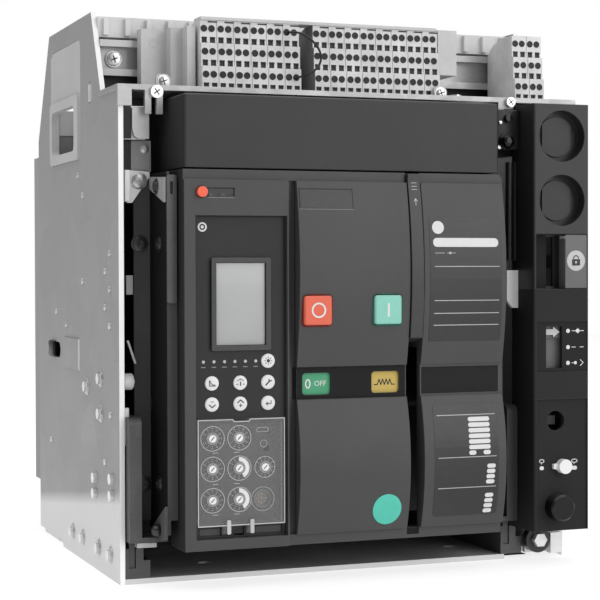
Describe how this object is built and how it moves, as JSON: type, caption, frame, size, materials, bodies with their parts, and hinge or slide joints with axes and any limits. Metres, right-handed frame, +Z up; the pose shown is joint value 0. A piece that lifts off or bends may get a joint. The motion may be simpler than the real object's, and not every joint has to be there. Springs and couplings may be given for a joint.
{
  "type": "draw-out air circuit breaker",
  "caption": "Draw-out air circuit breaker racked in its steel cradle, with push buttons, charging handle, electronic trip unit and rear busbar connectors.",
  "frame": {"origin": "centre of the four floor bolts, on the underside of the base plate", "axes": "+X to the right seen from the front, +Y to the back (the breaker is drawn out towards -Y), +Z up"},
  "size_m": [0.2894, 0.3282, 0.328],
  "materials": {
    "galvanised": "satin",
    "light_plastic": "matte",
    "dark_plastic": "matte",
    "cover_plastic": "matte",
    "black_plastic": "matte",
    "moulding": "matte",
    "terminal_plastic": "matte",
    "white_plastic": "gloss",
    "black_steel": "matte",
    "bright_steel": "polished",
    "bronze": "satin",
    "copper": "satin",
    "silvered": "satin",
    "trip_plastic": "matte",
    "clear_plastic": "clear",
    "screen": "clear",
    "green_plastic": "gloss",
    "red_plastic": "gloss",
    "yellow_plastic": "gloss",
    "cable": "gloss",
    "flag_plastic": "matte"
  },
  "bodies": {
    "cradle": {"side_plate_left": "galvanised", "side_plate_right": "galvanised", "window_grips": "light_plastic", "base_plate": "galvanised", "guide_channels": "galvanised", "front_crossbar": "galvanised", "cradle_fasteners": "bright_steel", "upper_bracket": "galvanised", "position_switch": "black_plastic", "interlock_tab": "white_plastic", "terminal_rail": "galvanised", "rear_beam": "light_plastic", "terminal_blocks": "terminal_plastic", "terminal_end_caps": "terminal_plastic", "jumper_wire": "cable", "rear_base": "moulding", "rear_connectors": "copper", "finger_clusters": "silvered", "racking_housing": "cover_plastic", "corner_bracket": "bright_steel", "screw_bearings": "bronze"},
    "breaker": {"breaker_side_plates": "black_steel", "pole_housing": "moulding", "arc_chutes": "dark_plastic", "top_case": "black_plastic", "main_blades": "copper", "contact_pivot_rod": "bright_steel", "mechanism_frame": "galvanised", "closing_spring": "bright_steel", "current_transformers": "dark_plastic", "front_cover": "cover_plastic", "trip_unit": "trip_plastic", "trip_display": "screen"},
    "carriage": {"racking_carriage": "galvanised"},
    "rail_left": {"extension_rail_left": "galvanised"},
    "rail_right": {"extension_rail_right": "galvanised"},
    "screw": {"racking_screw": "bright_steel"},
    "pointer": {"position_pointer": "white_plastic"},
    "upper_shutter": {"shutter_upper": "dark_plastic"},
    "lower_shutter": {"shutter_lower": "dark_plastic"},
    "padlock": {"padlock_tab": "light_plastic"},
    "selector": {"racking_selector": "white_plastic"},
    "release": {"release_button": "black_plastic"},
    "contacts": {"moving_contacts": "copper"},
    "crank_shaft": {"pole_shaft": "bright_steel"},
    "charging_shaft": {"charge_shaft": "bright_steel"},
    "handle": {"charging_handle": "black_plastic"},
    "off_button": {"button_off": "red_plastic"},
    "on_button": {"button_on": "green_plastic"},
    "reset": {"button_reset": "red_plastic"},
    "open_flag": {"status_flag": "flag_plastic"},
    "spring_flag": {"charged_flag": "yellow_plastic"},
    "lid": {"trip_lid": "clear_plastic"},
    "dial_long_current_rotor": {"dial_long_current": "white_plastic"},
    "dial_long_delay_rotor": {"dial_long_delay": "white_plastic"},
    "dial_short_current_rotor": {"dial_short_current": "white_plastic"},
    "dial_short_delay_rotor": {"dial_short_delay": "white_plastic"},
    "dial_ground_current_rotor": {"dial_ground_current": "white_plastic"},
    "dial_ground_delay_rotor": {"dial_ground_delay": "white_plastic"},
    "dial_instant_rotor": {"dial_instant": "white_plastic"}
  },
  "joints": [
    {"name": "racking_slide", "type": "slide", "parent": "cradle", "child": "carriage", "axis": [0, -1, 0], "range_m": [0, 0.055]},
    {"name": "breaker_withdraw", "type": "slide", "parent": "carriage", "child": "breaker", "axis": [0, -1, 0], "range_m": [0, 0.19]},
    {"name": "rail_left_slide", "type": "slide", "parent": "cradle", "child": "rail_left", "axis": [0, -1, 0], "range_m": [0, 0.15]},
    {"name": "rail_right_slide", "type": "slide", "parent": "cradle", "child": "rail_right", "axis": [0, -1, 0], "range_m": [0, 0.15]},
    {"name": "racking_screw_spin", "type": "hinge", "parent": "cradle", "child": "screw", "pos_m": [0.1191, -0.1065, 0.0855], "axis": [0, 1, 0], "range_deg": [0, 3960]},
    {"name": "position_pointer_slide", "type": "slide", "parent": "cradle", "child": "pointer", "axis": [0, 0, -1], "range_m": [0, 0.0178]},
    {"name": "shutter_upper_slide", "type": "slide", "parent": "cradle", "child": "upper_shutter", "axis": [0, 0, -1], "range_m": [0, 0.04]},
    {"name": "shutter_lower_slide", "type": "slide", "parent": "cradle", "child": "lower_shutter", "axis": [0, 0, 1], "range_m": [0, 0.04]},
    {"name": "padlock_tab_pull", "type": "slide", "parent": "cradle", "child": "padlock", "axis": [0, -1, 0], "range_m": [0, 0.02]},
    {"name": "selector_turn", "type": "hinge", "parent": "cradle", "child": "selector", "pos_m": [0.1234, -0.1342, 0.0583], "axis": [0, 1, 0], "range_deg": [0, 180]},
    {"name": "release_press", "type": "slide", "parent": "cradle", "child": "release", "axis": [0, 1, 0], "range_m": [0, 0.005], "stiffness_N_per_m": 400},
    {"name": "contact_swing", "type": "hinge", "parent": "breaker", "child": "contacts", "pos_m": [-0.017, -0.0365, 0.092], "axis": [-1, 0, 0], "range_deg": [0, 9.8]},
    {"name": "pole_shaft_turn", "type": "hinge", "parent": "breaker", "child": "crank_shaft", "pos_m": [-0.017, -0.0915, 0.1], "axis": [-1, 0, 0], "range_deg": [0, 11.76]},
    {"name": "status_flag_slide", "type": "slide", "parent": "breaker", "child": "open_flag", "axis": [0, 0, -1], "range_m": [0, 0.0135]},
    {"name": "charge_shaft_turn", "type": "hinge", "parent": "breaker", "child": "charging_shaft", "pos_m": [-0.017, -0.0965, 0.165], "axis": [1, 0, 0], "range_deg": [0, 180]},
    {"name": "charged_flag_slide", "type": "slide", "parent": "breaker", "child": "spring_flag", "axis": [0, 0, -1], "range_m": [0, 0.0135]},
    {"name": "handle_pump", "type": "hinge", "parent": "breaker", "child": "handle", "pos_m": [0.0231, -0.132, 0.139], "axis": [1, 0, 0], "range_deg": [0, 110]},
    {"name": "off_press", "type": "slide", "parent": "breaker", "child": "off_button", "axis": [0, 1, 0], "range_m": [0, 0.004], "stiffness_N_per_m": 500},
    {"name": "on_press", "type": "slide", "parent": "breaker", "child": "on_button", "axis": [0, 1, 0], "range_m": [0, 0.004], "stiffness_N_per_m": 500},
    {"name": "reset_press", "type": "slide", "parent": "breaker", "child": "reset", "axis": [0, 1, 0], "range_m": [0, 0.002], "stiffness_N_per_m": 300},
    {"name": "trip_lid_hinge", "type": "hinge", "parent": "breaker", "child": "lid", "pos_m": [-0.08095, -0.1393, 0.0319], "axis": [1, 0, 0], "range_deg": [0, 95]},
    {"name": "dial_long_current_turn", "type": "hinge", "parent": "breaker", "child": "dial_long_current_rotor", "pos_m": [-0.0965, -0.1375, 0.0831], "axis": [0, 1, 0], "range_deg": [-135, 135]},
    {"name": "dial_long_delay_turn", "type": "hinge", "parent": "breaker", "child": "dial_long_delay_rotor", "pos_m": [-0.081, -0.1375, 0.0831], "axis": [0, 1, 0], "range_deg": [-135, 135]},
    {"name": "dial_short_current_turn", "type": "hinge", "parent": "breaker", "child": "dial_short_current_rotor", "pos_m": [-0.0965, -0.1375, 0.0663], "axis": [0, 1, 0], "range_deg": [-135, 135]},
    {"name": "dial_short_delay_turn", "type": "hinge", "parent": "breaker", "child": "dial_short_delay_rotor", "pos_m": [-0.081, -0.1375, 0.0663], "axis": [0, 1, 0], "range_deg": [-135, 135]},
    {"name": "dial_ground_current_turn", "type": "hinge", "parent": "breaker", "child": "dial_ground_current_rotor", "pos_m": [-0.0965, -0.1375, 0.049], "axis": [0, 1, 0], "range_deg": [-135, 135]},
    {"name": "dial_ground_delay_turn", "type": "hinge", "parent": "breaker", "child": "dial_ground_delay_rotor", "pos_m": [-0.081, -0.1375, 0.049], "axis": [0, 1, 0], "range_deg": [-135, 135]},
    {"name": "dial_instant_turn", "type": "hinge", "parent": "breaker", "child": "dial_instant_rotor", "pos_m": [-0.0658, -0.1375, 0.0663], "axis": [0, 1, 0], "range_deg": [-135, 135]}
  ],
  "couplings": [
    {"joint": "racking_screw_spin", "follows": "racking_slide", "rad_per_m": 1256.6},
    {"joint": "position_pointer_slide", "follows": "racking_slide", "ratio": 0.3236},
    {"joint": "shutter_upper_slide", "follows": "racking_slide", "ratio": 0.7272},
    {"joint": "shutter_lower_slide", "follows": "racking_slide", "ratio": 0.7272},
    {"joint": "pole_shaft_turn", "follows": "contact_swing", "ratio": 1.2},
    {"joint": "status_flag_slide", "follows": "contact_swing", "m_per_rad": 0.0788},
    {"joint": "charged_flag_slide", "follows": "charge_shaft_turn", "m_per_rad": 0.00429}
  ]
}
